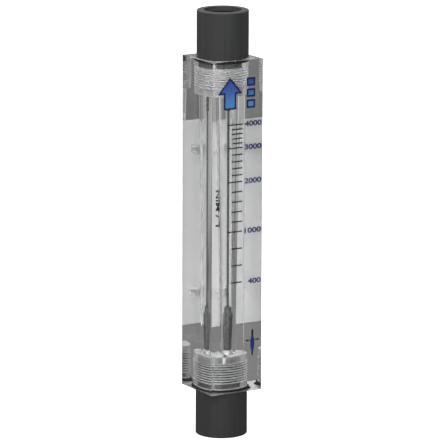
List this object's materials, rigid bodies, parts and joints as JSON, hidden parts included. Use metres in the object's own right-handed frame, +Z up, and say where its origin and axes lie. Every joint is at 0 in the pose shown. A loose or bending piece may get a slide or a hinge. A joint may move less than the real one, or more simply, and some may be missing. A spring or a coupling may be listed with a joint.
{
  "type": "rotameter",
  "caption": "Clear square-bodied variable area flow meter: a spindle float rides a guide rod in a tapered bore between threaded pipe adapters.",
  "frame": {"origin": "centre of the inlet fitting's end face, at the bottom", "axes": "+Z up along the bore and the flow, -Y out of the scale face, +Y out of the rear face with the mounting inserts"},
  "size_m": [0.0508, 0.0508, 0.375],
  "materials": {
    "clear_acrylic": "polished clear",
    "grey_plastic": "moulded, slightly satin",
    "black_rubber": "matt",
    "white_plastic": "machined",
    "steel": "turned"
  },
  "bodies": {
    "meter": {"meter_body": "clear_acrylic", "inlet_fitting": "grey_plastic", "outlet_fitting": "grey_plastic", "inlet_o_ring": "black_rubber", "outlet_o_ring": "black_rubber", "lower_rod_holder": "white_plastic", "upper_rod_holder": "white_plastic", "guide_rod": "steel", "lower_float_stop": "white_plastic", "upper_float_stop": "steel", "lower_mount_insert": "steel", "upper_mount_insert": "steel"},
    "float": {"float": "steel"}
  },
  "joints": [
    {"name": "float_travel", "type": "slide", "parent": "meter", "child": "float", "axis": [0, 0, 1], "range_m": [0, 0.1728]}
  ]
}
